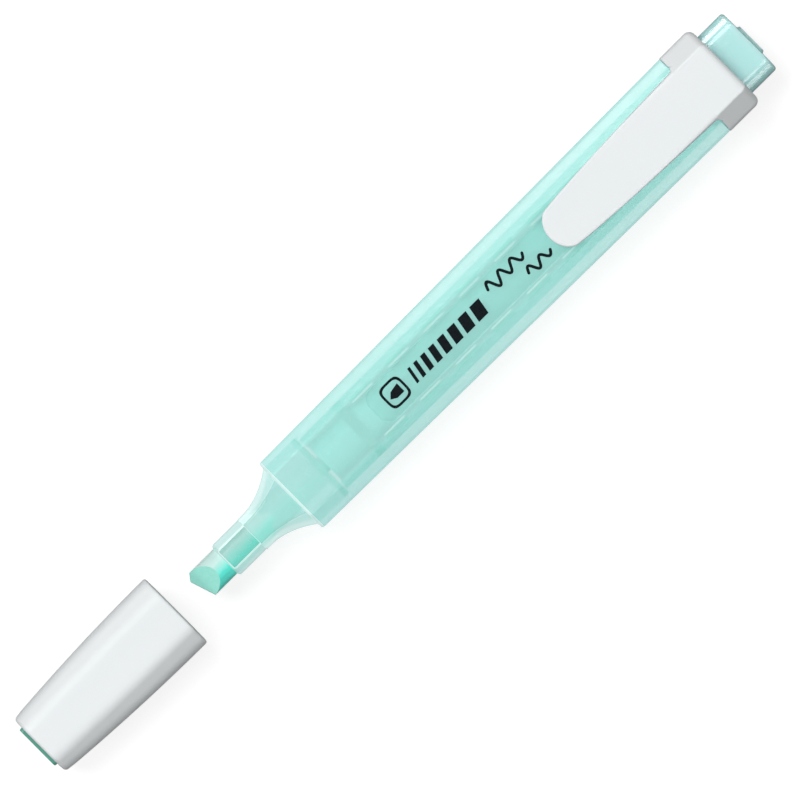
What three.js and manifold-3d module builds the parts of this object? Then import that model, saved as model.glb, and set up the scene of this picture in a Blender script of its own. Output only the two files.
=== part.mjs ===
// A flat highlighter lying on its back, with its cap drawn off along the pen's own line.
// Millimetres. X runs from the nib to the rear end, Y across the pen, Z up through the clip.
// Stations along the pen, named ...At, are distances behind the barrel's front shoulder.

import * as THREE from "three";
import { mergeVertices } from "three/addons/utils/BufferGeometryUtils.js";
import Module from "manifold-3d";

const wasm = await Module();
wasm.setup();

// ---- driving dimensions ----

const seam = 0.3; // gap between two mouldings that meet face to face
const slip = 0.15; // gap around a piece that sits inside another
const over = 1; // how far a cutter or a joined piece runs past a face
const wall = 1.0; // front and back walls of the barrel, and wall of the front section
const sideWall = 1.9; // the barrel is thicker at its narrow sides
const skirtWall = 0.8;
const cornerSteps = 4; // straight steps in one rounded corner
const edgeSteps = 3; // straight steps in one rounded end edge
const plateSteps = 12; // straight steps in one curve of a flat plate's outline
const leastRound = 0.2; // a corner drawn inwards keeps this rounding
const tailSides = 24; // flats around the nib's tail and the clip's nub
const rodSides = 32;
const blockSize = 40; // of the block behind a slanted cut

const axisHeight = 5.8; // pen axis above the surface that it lies on
const bodyHalfDepth = 5.5; // barrel and cap mouth, front face to back face
const shoulderHalfWidth = 7.42; // barrel, at its front shoulder
const waistHalfWidth = 8.24; // barrel, where the clip collar starts
const bodyFlat = 4.5; // half-width of the barrel's front and back faces
const bodySide = 2.2; // half-height of its upright sides
const bodyFrontRound = 0.45; // rounding of its front edge
const boreFlat = 3.9;
const boreSide = 1.7;
const boreRounds = [0.8, 1.2];
const flatRound = 0.8; // rounding where a flat meets a slanted facet
const sideRound = 1.7; // rounding where a facet meets an upright side

const collarAt = 93.3;
const collarEndAt = 100.2;
const seatAt = collarAt - seam; // the barrel steps in here to take the collar
const seatHalfWidth = 7.25;
const seatHalfDepth = 4.55;
const seatFlat = 3.9;
const seatSide = 1.8;
const barrelEndAt = 97.7;
const spigotAt = 91.5; // the barrel's bore narrows here for the plug's spigot
const spigotHole = { halfWidth: 6.3, halfDepth: 3.6, flat: 3.4, side: 1.3 };

const ribAt = 14.9; // ring inside the barrel that centres the reservoir
const ribLength = 1.7;
const padRib = { from: 17.9, pitch: 8.2, count: 9, length: 4.8, inner: 3.6, outer: 5.0, depth: 1.2 };
const panelAt = 19.2; // sunk print panel with rounded corners, on the front face
const panelEndAt = 90.0;
const panelHalfWidth = 3.45;
const panelCorner = 2.3;
const panelDepth = 0.15;

const neckBase = { halfWidth: 6.4, halfDepth: 4.55, flat: 3.7, side: 1.9 };
const neckLength = 8.0; // from the shoulder forward to where the curve has died away
const neckRounds = [0.8, 1.0];
const neckStations = [-7, -6, -5, -4, -3, -2, -1, 0];
const holderStepAt = -8.85;
const mouthAt = -15.1;
const holderHalfWidth = 3.34;
const holderHalfDepth = 3.1;
const holderFlat = 2.0;
const holderSide = 1.75;
const holderRounds = [0.7, 1.0];
const holderMouthRound = 0.6;
const holderStep = 0.1; // how far the neck stands proud of the holder
const chamberAt = -5.7; // the nib's bore opens out here
const chamberStations = [chamberAt, -4, -2.5, -1.2];
const skirtLength = 7.2; // front section inside the barrel
const ventWidth = 1.7;
const ventDepth = 0.35;

const nibTipAt = -21.65;
const nibHalfWidth = 2.8;
const nibHalfDepth = 2.5;
const nibFlat = 1.15;
const nibSide = 1.0;
const nibRounds = [2.4, 2.4];
const nibFit = 0.1; // gap between the nib and the tube that grips it
const nibEdge = { y: 1.6, z: -0.9, thickness: 0.35 }; // chisel edge, at the tip
const nibUpperFace = [-0.62, 0, 0.78]; // directions in which the chisel's four faces look
const nibLowerFace = [-0.75, 0, -0.66];
const nibSlantFace = [-1, -0.34, 0];
const nibCornerFace = [-1, 0.81, 0];
const nibTailAt = 11.0;
const nibTailRadius = 1.5;
const nibTailLength = 5.0;

const reservoirRadius = 4.05;
const reservoirAt = 7.8;
const reservoirEndAt = 90.6;
const filmThickness = 0.2;

const collarHalfWidth = 8.33;
const collarTop = 7.6; // above the pen axis
const collarTopFlat = 5.0;
const collarTopSide = 3.5;
const collarBottomFlat = 5.1;
const collarBottomSide = 2.4;
const collarRounds = [0.5, 2.2];
const collarRear = 0.9; // rear wall of the collar
const collarFrontRound = 0.2;
const collarRearRound = 1.2;
const clipThickness = 1.4;
const clipTipAt = 59.8;
const clipTipLength = 3.2; // half-ellipse at the tip
const clipTipHalfWidth = 3.98;
const clipRootHalfWidth = 5.45;
const clipBendRear = { at: 80, halfWidth: 5.1 }; // control points of the clip's long sides
const clipBendFront = { at: 68, halfWidth: 4.55 };
const clipFillet = 0.8;
const clipNubRadius = 0.9;
const clipNubWidth = 4.0;
const clipNubSetback = 3.4; // behind the tip
const clipNubGap = 0.15; // nub to barrel

const plugEndAt = 105.9;
const plugHalfWidth = 6.4;
const plugHalfDepth = 3.9;
const plugFlat = 4.35;
const plugSide = 2.0;
const plugRounds = [2.4, 3.0];
const plugEndRound = 0.5;
const plugFlange = 1.0;
const spigotWall = 0.8;
const padHalfWidth = 2.87; // raised pad on the plug's end
const padHalfDepth = 2.0;
const padFlat = 2.3;
const padSide = 1.4;
const padRounds = [0.6, 0.6];
const padHeight = 0.5;
const padEdgeRound = 0.15;

const capMouthAt = -26.5; // cap drawn off; 26.2 mm further back it is fully on
const capLength = 31.45;
const capMouthHalfWidth = 7.34;
const capTaperWidth = 1.3; // half-width lost by the closed end
const capTaperDepth = 0.7;
const capFlat = 3.9;
const capTaperFlat = 0.45;
const capSide = 2.2;
const capTaperSide = 0.3;
const capShares = [0, 0.2, 0.4, 0.6, 0.75, 0.88]; // stations, as shares of the cap's length
const capWall = 0.82;
const capEndWall = 1.2;
const capEndRound = 0.7;
const capMouthRound = 0.4;
const capRound = 2.6; // the cap's facets run softly into its front and back
const capSideRound = 4.2; // and more softly still into its sides
const linerMouth = 9.5; // depth of the inner cap's mouth inside the cap
const linerWall = 0.6;
const linerBase = 1.6;
const keyHalfWidth = 4.15; // the inner cap's key shows in a slot in the closed end
const keyHalfDepth = 1.7;
const keyCorner = 0.5;
const keyRounds = [0.4, 0.4];
const keyBevel = 0.15;
const keyProud = 0.6;

// ---- materials ----

const plastic = (color, roughness) => new THREE.MeshStandardMaterial({ color, roughness, metalness: 0 });
const translucentMint = plastic(0xa7e2dc, 0.35);
const solidMint = plastic(0xb4e4e1, 0.35);
const keyMint = plastic(0x5aa58e, 0.4);
const white = plastic(0xe6eeee, 0.4);
const nibFibre = plastic(0x98dece, 0.95);
const inkFibre = plastic(0x8fd9cc, 1.0);
const film = plastic(0xb9ebe6, 0.25);

// ---- outlines across the pen ----

// Eight-sided outline: flat front and back, upright sides and slanted facets between them.
// `up` and `down` give the face above and below the axis as [height, half-width of its flat, side height].
function octagon(halfWidth, up, down = up, rounds = [flatRound, sideRound]) {
  const [top, topFlat, topSide] = up;
  const [bottom, bottomFlat, bottomSide] = down;
  const corners = [
    [halfWidth, -bottomSide],
    [halfWidth, topSide],
    [topFlat, top],
    [-topFlat, top],
    [-halfWidth, topSide],
    [-halfWidth, -bottomSide],
    [-bottomFlat, -bottom],
    [bottomFlat, -bottom],
  ];
  const [flat, side] = rounds;
  return {
    corners: corners.map(([y, z]) => new THREE.Vector2(y, z)),
    rounds: [side, side, flat, flat, side, side, flat, flat],
  };
}

// The same outline drawn inwards by a distance, for a wall or a rounded end edge.
function inset({ corners, rounds }, distance) {
  const count = corners.length;
  const moved = corners.map((corner, i) => {
    const before = corner.clone().sub(corners[(i + count - 1) % count]).normalize();
    const after = corners[(i + 1) % count].clone().sub(corner).normalize();
    const inward = new THREE.Vector2(-before.y - after.y, before.x + after.x);
    return inward.multiplyScalar(distance / (1 + before.dot(after))).add(corner);
  });
  return { corners: moved, rounds: rounds.map((round) => Math.max(round - distance, leastRound)) };
}

// The outline's points, each corner rounded by a curve between its two tangent points.
function outlinePoints({ corners, rounds }) {
  const shape = new THREE.Shape();
  const count = corners.length;
  corners.forEach((corner, i) => {
    const before = corners[(i + count - 1) % count].clone().sub(corner);
    const after = corners[(i + 1) % count].clone().sub(corner);
    const turn = Math.PI - before.angleTo(after);
    const back = Math.min(rounds[i] * Math.tan(turn / 2), 0.45 * Math.min(before.length(), after.length()));
    const start = before.setLength(back).add(corner);
    const end = after.setLength(back).add(corner);
    if (i === 0) shape.moveTo(start.x, start.y);
    else shape.lineTo(start.x, start.y);
    shape.quadraticCurveTo(corner.x, corner.y, end.x, end.y);
  });
  return shape.getPoints(cornerSteps);
}

// ---- solids ----

// A closed solid through outlines set along X, given as [station, outline] from front to rear.
function loft(stations) {
  const rings = stations.map(([at, outline]) => outlinePoints(outline).map((p) => [at, p.x, p.y]));
  const count = rings[0].length;
  const positions = rings.flat(2);
  const faces = [];
  for (let ring = 0; ring + 1 < rings.length; ring++) {
    for (let i = 0; i < count; i++) {
      const here = ring * count + i;
      const next = ring * count + ((i + 1) % count);
      faces.push(here, next, next + count, here, next + count, here + count);
    }
  }
  const last = (rings.length - 1) * count;
  for (let i = 1; i + 1 < count; i++) {
    faces.push(0, i + 1, i, last, last + i, last + i + 1);
  }
  const geometry = new THREE.BufferGeometry();
  geometry.setAttribute("position", new THREE.Float32BufferAttribute(positions, 3));
  geometry.setIndex(faces);
  return geometry;
}

// Stations of an outline whose end edge is rounded; `toward` is -1 for a front end, 1 for a rear end.
function roundedEnd(at, outline, radius, toward) {
  const stations = [];
  for (let step = 0; step <= edgeSteps; step++) {
    const angle = (step / edgeSteps) * (Math.PI / 2);
    const depth = radius * (1 - Math.sin(angle));
    stations.push([at - toward * depth, inset(outline, radius * (1 - Math.cos(angle)))]);
  }
  return toward < 0 ? stations.reverse() : stations;
}

// The library's solid of a closed geometry.
function solid(geometry) {
  const bare = geometry.clone();
  bare.deleteAttribute("normal");
  bare.deleteAttribute("uv");
  const merged = mergeVertices(bare, 1e-4);
  return new wasm.Manifold(
    new wasm.Mesh({
      numProp: 3,
      vertProperties: new Float32Array(merged.attributes.position.array),
      triVerts: new Uint32Array(merged.index.array),
    }),
  );
}

function geometryOf(manifold) {
  const { vertProperties, triVerts } = manifold.getMesh();
  const geometry = new THREE.BufferGeometry();
  geometry.setAttribute("position", new THREE.BufferAttribute(vertProperties, 3));
  geometry.setIndex(new THREE.BufferAttribute(triVerts, 1));
  return geometry;
}

const cut = (body, ...cutters) => geometryOf(cutters.reduce((left, c) => left.subtract(solid(c)), solid(body)));
const joined = (...parts) => geometryOf(parts.map(solid).reduce((sum, part) => sum.add(part)));

function box(from, to) {
  const size = new THREE.Vector3().subVectors(to, from);
  const middle = new THREE.Vector3().addVectors(from, to).multiplyScalar(0.5);
  return new THREE.BoxGeometry(size.x, size.y, size.z).translate(middle.x, middle.y, middle.z);
}

function rod(from, to, radius, sides = rodSides) {
  const cylinder = new THREE.CylinderGeometry(radius, radius, to - from, sides);
  return cylinder.rotateZ(Math.PI / 2).translate((from + to) / 2, 0, 0);
}

// A flat plate: an outline in X and Y, from one height to another.
function plate(shape, bottom, top) {
  const settings = { depth: top - bottom, bevelEnabled: false, curveSegments: plateSteps };
  return new THREE.ExtrudeGeometry(shape, settings).translate(0, 0, bottom);
}

// A block for a slanted cut: one face passes through the point, and the block lies on its far side.
function halfSpace(point, normal) {
  const block = new THREE.BoxGeometry(blockSize, blockSize, blockSize).translate(0, 0, blockSize / 2);
  const up = new THREE.Vector3(0, 0, 1);
  const turn = new THREE.Quaternion().setFromUnitVectors(up, new THREE.Vector3(...normal).normalize());
  return block.applyQuaternion(turn).translate(point.x, point.y, point.z);
}

function mesh(name, geometry, material) {
  const flat = geometry.toNonIndexed();
  flat.computeVertexNormals();
  const piece = new THREE.Mesh(flat, material.clone());
  piece.name = name;
  return piece;
}

// ---- pen ----

const bodyHalfWidth = (at) => THREE.MathUtils.lerp(shoulderHalfWidth, waistHalfWidth, at / collarAt);
const bodyOutline = (at) => octagon(bodyHalfWidth(at), [bodyHalfDepth, bodyFlat, bodySide]);

const seatOutline = octagon(seatHalfWidth, [seatHalfDepth, seatFlat, seatSide]);
const spigotBore = octagon(spigotHole.halfWidth, [spigotHole.halfDepth, spigotHole.flat, spigotHole.side]);

const boreOutline = (at) =>
  octagon(bodyHalfWidth(at) - sideWall, [bodyHalfDepth - wall, boreFlat, boreSide], undefined, boreRounds);

// Barrel: a tapering tube, open at both ends, stepped in at the rear for the collar. The bore is wider
// at the front, where it takes the front section's skirt.
function barrel() {
  const outside = loft([
    ...roundedEnd(0, bodyOutline(0), bodyFrontRound, -1),
    [seatAt, bodyOutline(seatAt)],
    [seatAt, seatOutline],
    [barrelEndAt, seatOutline],
  ]);
  const bore = (from, to) => loft([from, to].map((at) => [at, boreOutline(at)]));
  const socket = [-over, skirtLength + seam].map((at) => [at, inset(bodyOutline(at), wall)]);
  const shell = cut(
    outside,
    loft(socket),
    bore(skirtLength, ribAt),
    rod(ribAt - over, ribAt + ribLength + over, reservoirRadius + slip),
    bore(ribAt + ribLength, spigotAt),
    loft([
      [spigotAt - over, spigotBore],
      [barrelEndAt + over, spigotBore],
    ]),
    plate(panelShape(), bodyHalfDepth - panelDepth, bodyHalfDepth + over),
  );
  return joined(shell, ...padRibs());
}

function panelShape() {
  const side = panelHalfWidth - panelCorner;
  const front = panelAt + panelCorner;
  const rear = panelEndAt - panelCorner;
  const panel = new THREE.Shape();
  panel.absarc(front, side, panelCorner, Math.PI / 2, Math.PI);
  panel.absarc(front, -side, panelCorner, Math.PI, 1.5 * Math.PI);
  panel.absarc(rear, -side, panelCorner, 1.5 * Math.PI, 2 * Math.PI);
  panel.absarc(rear, side, panelCorner, 0, Math.PI / 2);
  return panel;
}

// Short ribs in the corners of the bore, in two rows, that keep the reservoir in the middle.
function padRibs() {
  const ribs = [];
  const root = bodyHalfDepth - wall;
  for (const side of [-1, 1]) {
    for (let i = 0; i < padRib.count; i++) {
      const at = padRib.from + i * padRib.pitch;
      const [right, left] = [side * padRib.inner, side * padRib.outer].sort((a, b) => a - b);
      ribs.push(
        box(
          new THREE.Vector3(at, right, root - padRib.depth),
          new THREE.Vector3(at + padRib.length, left, root + wall / 2),
        ),
      );
    }
  }
  return ribs;
}

// Half sizes of the neck: full at the shoulder, dying away to the nib holder's size.
function neckOutline(at) {
  const share = Math.max(1 + at / neckLength, 0) ** 2;
  const blend = (base, end) => THREE.MathUtils.lerp(end, base, share);
  return octagon(
    blend(neckBase.halfWidth, holderHalfWidth + holderStep),
    [
      blend(neckBase.halfDepth, holderHalfDepth + holderStep),
      blend(neckBase.flat, holderFlat),
      blend(neckBase.side, holderSide),
    ],
    undefined,
    neckRounds,
  );
}

const holderFace = [holderHalfDepth, holderFlat, holderSide];
const holderOutline = octagon(holderHalfWidth, holderFace, undefined, holderRounds);
const nibOutline = octagon(nibHalfWidth, [nibHalfDepth, nibFlat, nibSide], undefined, nibRounds);

// Front section: skirt inside the barrel, curved neck, and the stepped tube that grips the nib.
function frontSection() {
  const skirt = inset(bodyOutline(skirtLength), wall + slip);
  const outside = loft([
    ...roundedEnd(mouthAt, holderOutline, holderMouthRound, -1),
    [holderStepAt, holderOutline],
    ...[holderStepAt, ...neckStations].map((at) => [at, neckOutline(at)]),
    [0, inset(bodyOutline(0), wall + slip)],
    [skirtLength, skirt],
  ]);
  const nibBore = inset(nibOutline, -nibFit);
  const chamber = loft([
    ...[...chamberStations, 0].map((at) => [at, inset(neckOutline(at), wall)]),
    [skirtLength + over, inset(skirt, skirtWall)],
  ]);
  const vent = box(
    new THREE.Vector3(mouthAt - over, -ventWidth / 2, -nibHalfDepth - ventDepth),
    new THREE.Vector3(chamberAt + over, ventWidth / 2, nibHalfDepth + ventDepth),
  );
  return cut(
    outside,
    loft([
      [mouthAt - over, nibBore],
      [0, nibBore],
    ]),
    vent,
    chamber,
  );
}

// Nib: a rod of pressed fibre, cut to a slanted chisel edge, with a round tail in the reservoir.
function nib() {
  const tailAt = nibTailAt - nibTailLength;
  const rodSolid = joined(
    loft([
      [nibTipAt - over, nibOutline],
      [tailAt, nibOutline],
    ]),
    rod(tailAt - over, nibTailAt, nibTailRadius, tailSides),
  );
  const upperEdge = new THREE.Vector3(nibTipAt, nibEdge.y, nibEdge.z);
  const lowerEdge = new THREE.Vector3(nibTipAt, nibEdge.y, nibEdge.z - nibEdge.thickness);
  return cut(
    rodSolid,
    halfSpace(upperEdge, nibUpperFace),
    halfSpace(lowerEdge, nibLowerFace),
    halfSpace(upperEdge, nibSlantFace),
    halfSpace(upperEdge, nibCornerFace),
  );
}

// Reservoir core: a round fibre rod with a socket for the nib's tail.
function reservoirCore() {
  const socketEnd = nibTailAt + seam;
  return cut(
    rod(reservoirAt, reservoirEndAt, reservoirRadius - filmThickness - slip),
    rod(reservoirAt - over, socketEnd, nibTailRadius + slip, tailSides),
  );
}

// Reservoir film: the thin sleeve wrapped around the core.
function reservoirFilm() {
  return cut(
    rod(reservoirAt, reservoirEndAt, reservoirRadius),
    rod(reservoirAt - over, reservoirEndAt + over, reservoirRadius - filmThickness),
  );
}

const plugOutline = octagon(plugHalfWidth, [plugHalfDepth, plugFlat, plugSide], undefined, plugRounds);

// Rear plug: the end that shows, a flange held by the collar, and a hollow spigot in the barrel.
function rearPlug() {
  const flangeAt = barrelEndAt + seam;
  const spigot = inset(spigotBore, slip);
  const pad = octagon(padHalfWidth, [padHalfDepth, padFlat, padSide], undefined, padRounds);
  const padEnd = plugEndAt + padHeight;
  return cut(
    loft([
      [spigotAt + seam, spigot],
      [flangeAt, spigot],
      [flangeAt, seatOutline],
      [flangeAt + plugFlange, seatOutline],
      [flangeAt + plugFlange, plugOutline],
      ...roundedEnd(plugEndAt, plugOutline, plugEndRound, 1),
      [plugEndAt, pad],
      ...roundedEnd(padEnd, pad, padEdgeRound, 1),
    ]),
    loft([
      [spigotAt - over, inset(spigot, spigotWall)],
      [flangeAt, inset(spigot, spigotWall)],
    ]),
  );
}

const collarOutline = octagon(
  collarHalfWidth,
  [collarTop, collarTopFlat, collarTopSide],
  [axisHeight, collarBottomFlat, collarBottomSide],
  collarRounds,
);

// Clip collar: a ring around the barrel's rear end, deeper on the clip side.
function clipCollar() {
  const seat = inset(seatOutline, -slip);
  const lip = inset(plugOutline, -slip);
  return cut(
    loft([
      ...roundedEnd(collarAt, collarOutline, collarFrontRound, -1),
      ...roundedEnd(collarEndAt, collarOutline, collarRearRound, 1),
    ]),
    loft([
      [collarAt - over, seat],
      [collarEndAt - collarRear, seat],
    ]),
    loft([
      [collarAt, lip],
      [collarEndAt + over, lip],
    ]),
  );
}

// Clip tongue: a long spatula with a nub under its tip, springing from the collar's front edge.
// Its top follows the collar's outline where it flares out at the root.
function clipTongue() {
  const rootAt = collarAt - seam;
  const tipEndAt = clipTipAt + clipTipLength;
  const shape = new THREE.Shape();
  const flare = clipRootHalfWidth + clipFillet;
  shape.moveTo(rootAt, -flare);
  shape.lineTo(rootAt, flare);
  shape.quadraticCurveTo(rootAt, clipRootHalfWidth, rootAt - clipFillet, clipRootHalfWidth);
  const { at: rearBendAt, halfWidth: rearBend } = clipBendRear;
  const { at: frontBendAt, halfWidth: frontBend } = clipBendFront;
  shape.bezierCurveTo(rearBendAt, rearBend, frontBendAt, frontBend, tipEndAt, clipTipHalfWidth);
  shape.absellipse(tipEndAt, 0, clipTipLength, clipTipHalfWidth, Math.PI / 2, 1.5 * Math.PI);
  shape.bezierCurveTo(frontBendAt, -frontBend, rearBendAt, -rearBend, rootAt - clipFillet, -clipRootHalfWidth);
  shape.quadraticCurveTo(rootAt, -clipRootHalfWidth, rootAt, -flare);
  const underside = collarTop - clipThickness;
  const tongue = solid(plate(shape, underside, collarTop + over));
  const roof = loft([
    [clipTipAt - over, collarOutline],
    [collarAt, collarOutline],
  ]);
  const nub = new THREE.CylinderGeometry(clipNubRadius, clipNubRadius, clipNubWidth, tailSides);
  nub.translate(clipTipAt + clipNubSetback, 0, bodyHalfDepth + clipNubGap + clipNubRadius);
  return geometryOf(tongue.intersect(solid(roof)).add(solid(nub)));
}

// ---- cap, in its own coordinates: mouth at 0, closed end at -capLength ----

function capOutline(depth) {
  const share = (depth / capLength) ** 2;
  const front = [
    bodyHalfDepth - capTaperDepth * share,
    capFlat - capTaperFlat * share,
    capSide - capTaperSide * share,
  ];
  return octagon(capMouthHalfWidth - capTaperWidth * share, front, undefined, [capRound, capSideRound]);
}

const capStations = capShares.map((share) => share * capLength);
const keyOutline = octagon(
  keyHalfWidth,
  [keyHalfDepth, keyHalfWidth - keyCorner, keyHalfDepth - keyCorner],
  undefined,
  keyRounds,
);

// Cap shell: tapers in a gentle curve to a closed end with a slot across it.
function capShell() {
  const inside = (depth) => inset(capOutline(depth), capWall);
  const floorAt = capLength - capEndWall;
  const deep = capStations.filter((depth) => depth > 0 && depth < floorAt);
  const outside = loft([
    ...roundedEnd(-capLength, capOutline(capLength), capEndRound, -1),
    ...[...deep].reverse().map((depth) => [-depth, capOutline(depth)]),
    ...roundedEnd(0, capOutline(0), capMouthRound, 1),
  ]);
  const hollow = loft([
    [-floorAt, inside(floorAt)],
    ...[...deep].reverse().map((depth) => [-depth, inside(depth)]),
    [over, inside(0)],
  ]);
  const slot = inset(keyOutline, -slip);
  return cut(
    outside,
    hollow,
    loft([
      [-capLength - over, slot],
      [-floorAt + over, slot],
    ]),
  );
}

// Cap liner: the inner cap that seals on the nib holder, with the key that shows at the end.
function capLiner() {
  const bore = inset(holderOutline, -slip);
  const tube = inset(bore, -linerWall);
  const baseAt = -(capLength - capEndWall - slip);
  return cut(
    loft([
      [-capLength - keyProud, inset(keyOutline, keyBevel)],
      [-capLength - keyProud + keyBevel, keyOutline],
      [baseAt, keyOutline],
      [baseAt, tube],
      [-linerMouth, tube],
    ]),
    loft([
      [baseAt + linerBase, bore],
      [-linerMouth + over, bore],
    ]),
  );
}

// ---- assembly ----

const pen = new THREE.Group();
pen.add(
  mesh("barrel", barrel(), translucentMint),
  mesh("front_section", frontSection(), translucentMint),
  mesh("nib", nib(), nibFibre),
  mesh("reservoir_core", reservoirCore(), inkFibre),
  mesh("reservoir_film", reservoirFilm(), film),
  mesh("rear_plug", rearPlug(), solidMint),
  mesh("clip_collar", clipCollar(), white),
  mesh("clip_tongue", clipTongue(), white),
);

const cap = new THREE.Group();
cap.add(mesh("cap_shell", capShell(), white), mesh("cap_liner", capLiner(), keyMint));
cap.position.x = capMouthAt;
pen.add(cap);

// The origin is under the middle of the whole outline, on the surface that the pen lies on.
const frontEnd = capMouthAt - capLength - keyProud;
const rearEnd = plugEndAt + padHeight;
pen.position.set(-(frontEnd + rearEnd) / 2, 0, axisHeight);

const highlighter = new THREE.Group();
highlighter.add(pen);

export default highlighter;
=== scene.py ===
"""Looks of a flat highlighter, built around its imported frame.

Shapes are drawn in millimetres: a station `at` is a distance behind the barrel's front shoulder, y runs
across the pen and z is the height above the pen's axis. place() turns them into the frame's metres.
"""
import math

import bmesh
import bpy
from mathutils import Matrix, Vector


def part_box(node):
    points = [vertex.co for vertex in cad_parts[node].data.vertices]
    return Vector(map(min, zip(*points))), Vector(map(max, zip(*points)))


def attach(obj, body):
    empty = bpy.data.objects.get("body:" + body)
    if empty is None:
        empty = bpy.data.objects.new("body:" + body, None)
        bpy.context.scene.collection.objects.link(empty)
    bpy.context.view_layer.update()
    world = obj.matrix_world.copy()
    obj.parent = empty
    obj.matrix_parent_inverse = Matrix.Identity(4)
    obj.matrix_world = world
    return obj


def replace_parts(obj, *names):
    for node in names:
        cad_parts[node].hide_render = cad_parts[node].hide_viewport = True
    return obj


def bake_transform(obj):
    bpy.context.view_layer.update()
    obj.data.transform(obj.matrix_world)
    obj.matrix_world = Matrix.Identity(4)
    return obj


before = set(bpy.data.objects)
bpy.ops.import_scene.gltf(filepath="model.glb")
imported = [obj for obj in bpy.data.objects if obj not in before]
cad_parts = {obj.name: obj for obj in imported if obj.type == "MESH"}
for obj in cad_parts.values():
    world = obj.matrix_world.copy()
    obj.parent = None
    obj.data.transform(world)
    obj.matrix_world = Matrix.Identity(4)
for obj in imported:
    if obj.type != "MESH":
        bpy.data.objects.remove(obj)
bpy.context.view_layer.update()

# ---- sizes read from the frame, in millimetres ----

MM = 0.001
BARREL_LOW, BARREL_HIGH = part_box("barrel")
SHOULDER = BARREL_LOW.x
AXIS = (BARREL_LOW.z + BARREL_HIGH.z) / 2


def span(node):
    """Stations of a node's front and rear ends."""
    low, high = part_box(node)
    return (low.x - SHOULDER) / MM, (high.x - SHOULDER) / MM


def half_width(node):
    low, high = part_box(node)
    return (high.y - low.y) / 2 / MM


def top_of(node):
    """Height of a node's top above the pen's axis."""
    return (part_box(node)[1].z - AXIS) / MM


BARREL_END_AT = span("barrel")[1]
BODY_HALF_DEPTH = top_of("barrel")
WAIST_HALF_WIDTH = half_width("barrel")
MOUTH_AT, SKIRT_END_AT = span("front_section")
NIB_TIP_AT, NIB_TAIL_AT = span("nib")
NIB_HALF_WIDTH = half_width("nib")
RESERVOIR_AT, RESERVOIR_END_AT = span("reservoir_film")
RESERVOIR_RADIUS = half_width("reservoir_film")
CORE_RADIUS = half_width("reservoir_core")
COLLAR_AT, COLLAR_END_AT = span("clip_collar")
COLLAR_HALF_WIDTH = half_width("clip_collar")
COLLAR_TOP = top_of("clip_collar")
COLLAR_BOTTOM = AXIS / MM
CLIP_TIP_AT = span("clip_tongue")[0]
PLUG_AT, PAD_END_AT = span("rear_plug")
CAP_END_AT, CAP_MOUTH_AT = span("cap_shell")
CAP_MOUTH_HALF_WIDTH = half_width("cap_shell")
CAP_LENGTH = CAP_MOUTH_AT - CAP_END_AT
KEY_END_AT, LINER_MOUTH_AT = span("cap_liner")

# ---- sizes that the frame's boxes don't give, in millimetres ----

WALL = 1.0
SLIP = 0.15  # gap around a piece that sits inside another
SEAM = 0.3  # gap between two mouldings that meet face to face
FLAT_ROUND = 0.8
SIDE_ROUND = 1.7
SHOULDER_HALF_WIDTH = 7.42
BODY_FLAT = 4.5
BODY_SIDE = 2.2
SIDE_WALL = 1.9  # the barrel is thicker at its narrow sides
SOCKET_END_AT = 7.5  # the bore is wider in front of here, for the front section's skirt
RIM_ROUND = 0.45  # of the barrel's front edge
COLLAR_GAP = 0.08  # between the barrel's outside and the collar
SEAT_HALF_WIDTH = 7.25
SPIGOT_AT = 91.5
RIB_AT, RIB_LENGTH = 14.9, 1.7
BORE_FLAT, BORE_SIDE = 3.9, 1.7
BORE_ROUNDS = (0.8, 1.2)
PAD_RIB = {"from": 17.9, "pitch": 8.2, "count": 9, "length": 4.8, "inner": 3.6, "depth": 1.2}
PANEL = {"from": 19.2, "to": 90.0, "half_width": 3.45, "corner": 2.3, "depth": 0.15, "slope": 0.4}
NECK_LENGTH = 8.0
NECK_BASE = (6.4, 4.55, 3.7, 1.9)  # at the shoulder: half-width, height, flat and side height
NECK_END = (3.44, 3.2, 2.0, 1.75)
NECK_ROUNDS = (0.8, 1.0)
SKIRT_WALL = 0.8
# painted shade: the skirt's rear band takes the darker rib finish, for the gap behind it
SKIRT_BAND = 1.0  # the skirt's rear edge shows as a band of this length
SHOULDER_RIDGE = 0.25  # how far the neck stands proud where it meets the barrel
HOLDER_STEP_AT = -8.85
HOLDER_ROUND = 0.55  # of the holder's mouth
HOLDER_STATIONS = (-14, -12, -10.5)
CHAMBER_AT = -5.7
BORE_STATIONS = (CHAMBER_AT, -8, -11)
VENT = {"half_width": 0.85, "depth": 0.35, "edge": 0.12}
NIB_HALF_DEPTH = 2.5
NIB_FIT = 0.1  # gap between the nib and its holder
NIB_STEPS = 44  # rings across its cut end
NIB_TAIL = {"radius": 1.5, "length": 5.0}
FLUTES, FLUTE_STEPS, FLUTE_DEPTH = 16, 6, 0.05
FILM_THICKNESS = 0.2
COLLAR_REAR = 0.9
CLIP = {"thickness": 1.4, "tip_length": 3.2, "tip_half_width": 3.98, "root_half_width": 5.45, "edge": 0.3}
CLIP_BENDS = ((68, 4.55), (80, 5.1))  # control points of the long side: station, half-width
CLIP_TIP_STEPS, CLIP_SIDE_STEPS, CLIP_ROOT_STEPS = 14, 24, 8
CLIP_FILLET = 0.8
COLLAR_FRONT_ROUND, COLLAR_REAR_ROUND = 0.2, 1.2
NUB_SIDES = 24
CLIP_NUB = {"radius": 0.9, "half_width": 2.0, "setback": 3.4, "gap": 0.15}
PLUG_FLANGE = 1.0
PLUG_END_ROUND = 0.5
SPIGOT_WALL = 0.8
PAD_HEIGHT = 0.5
CAP_TAPER_WIDTH = 1.3
CAP_TAPER_DEPTH = 0.7
CAP_FLAT, CAP_TAPER_FLAT = 3.9, 0.45
CAP_SIDE, CAP_TAPER_SIDE = 2.2, 0.3
CAP_ROUNDS = (2.6, 4.2)
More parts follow.
